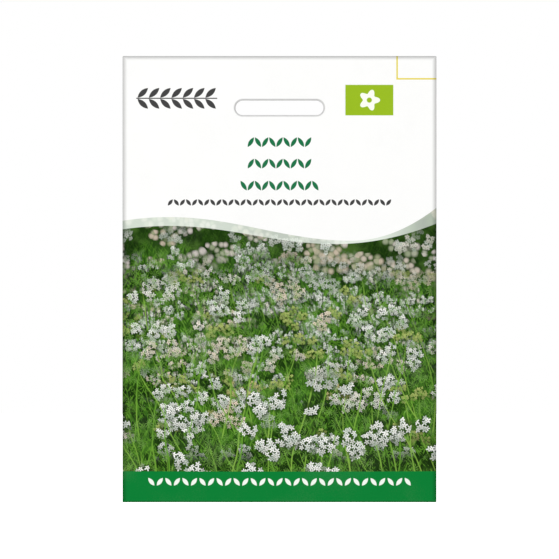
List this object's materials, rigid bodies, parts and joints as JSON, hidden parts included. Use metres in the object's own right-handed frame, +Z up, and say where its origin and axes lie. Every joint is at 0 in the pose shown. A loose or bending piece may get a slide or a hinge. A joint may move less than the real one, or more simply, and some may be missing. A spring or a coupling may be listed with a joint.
{
  "type": "seed packet",
  "caption": "Flat folded paper seed packet, sealed round a small heap of seeds, with a printed front and a long hang slot in its header.",
  "frame": {"origin": "centre of the hang slot, halfway through the header's layers of paper", "axes": "+Z up as the packet hangs, the printed front faces -Y, the back with its glued flaps faces +Y, +X to the right seen from the front"},
  "size_m": [0.114, 0.0076, 0.162],
  "materials": {
    "printed_paper": "smooth coated paper, satin print of a flowering herb bed under a white header, green foot band",
    "seed_husk": "dry matte ribbed husk"
  },
  "bodies": {
    "root": {"paper_envelope": "printed_paper", "seed_fill": "seed_husk"}
  },
  "joints": []
}
